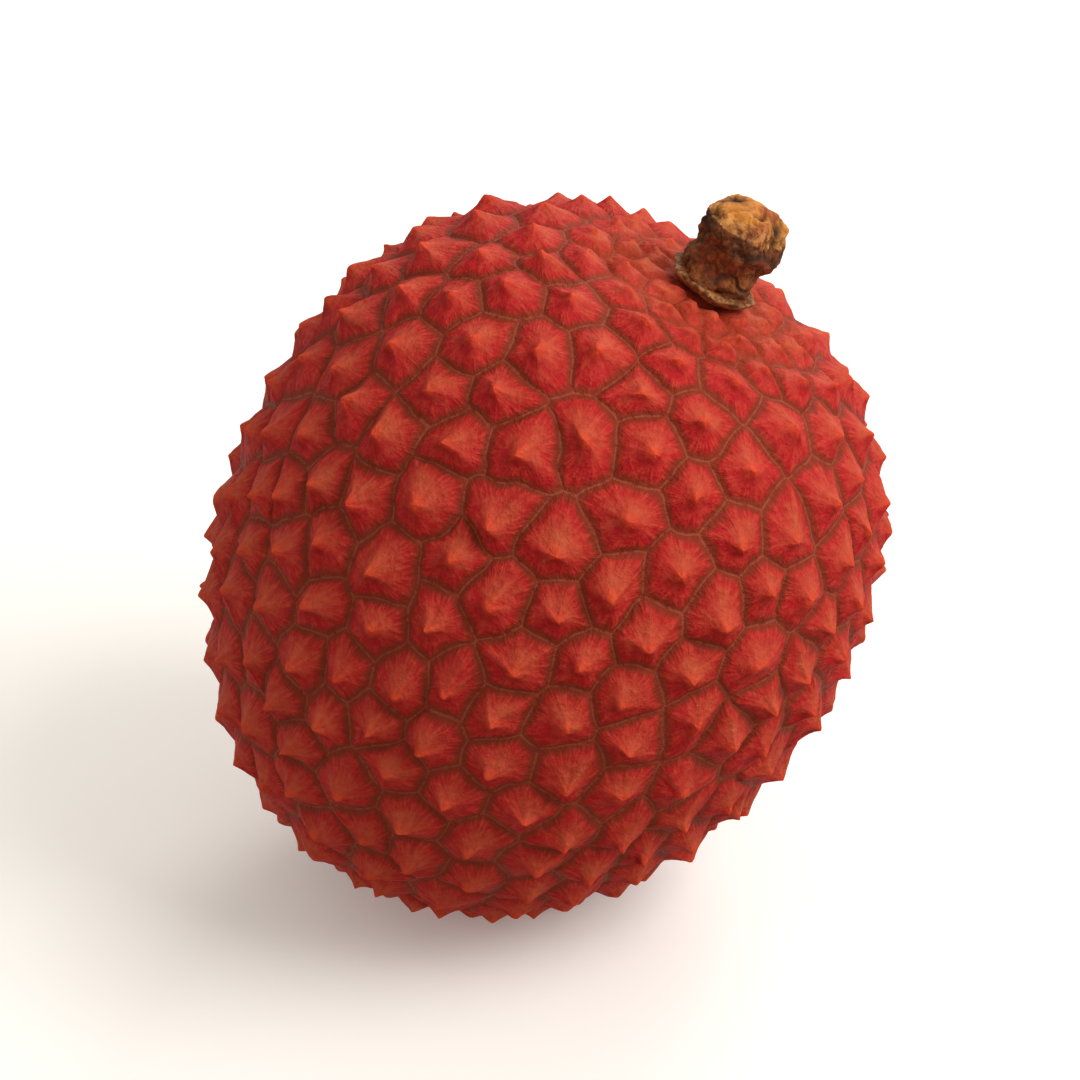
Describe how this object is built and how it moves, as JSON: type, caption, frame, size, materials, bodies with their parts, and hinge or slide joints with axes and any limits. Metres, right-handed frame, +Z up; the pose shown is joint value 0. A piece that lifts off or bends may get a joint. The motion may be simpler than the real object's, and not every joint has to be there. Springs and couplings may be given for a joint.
{
  "type": "lychee",
  "caption": "Whole lychee with red tubercled skin, a dried calyx and a broken stalk stub, resting on a small flat spot with its stalk end leaning to one side.",
  "frame": {"origin": "on the resting plane, under the middle of the whole fruit's box", "axes": "+Z up from the flat spot; the stalk end leans towards +X; +Y is away from the viewer"},
  "size_m": [0.035, 0.033, 0.0373],
  "materials": {
    "lychee_skin": "matte",
    "dried_calyx": "matte",
    "stalk_bark": "matte"
  },
  "bodies": {
    "root": {"fruit": "lychee_skin", "calyx": "dried_calyx", "stalk_stub": "stalk_bark"}
  },
  "joints": []
}
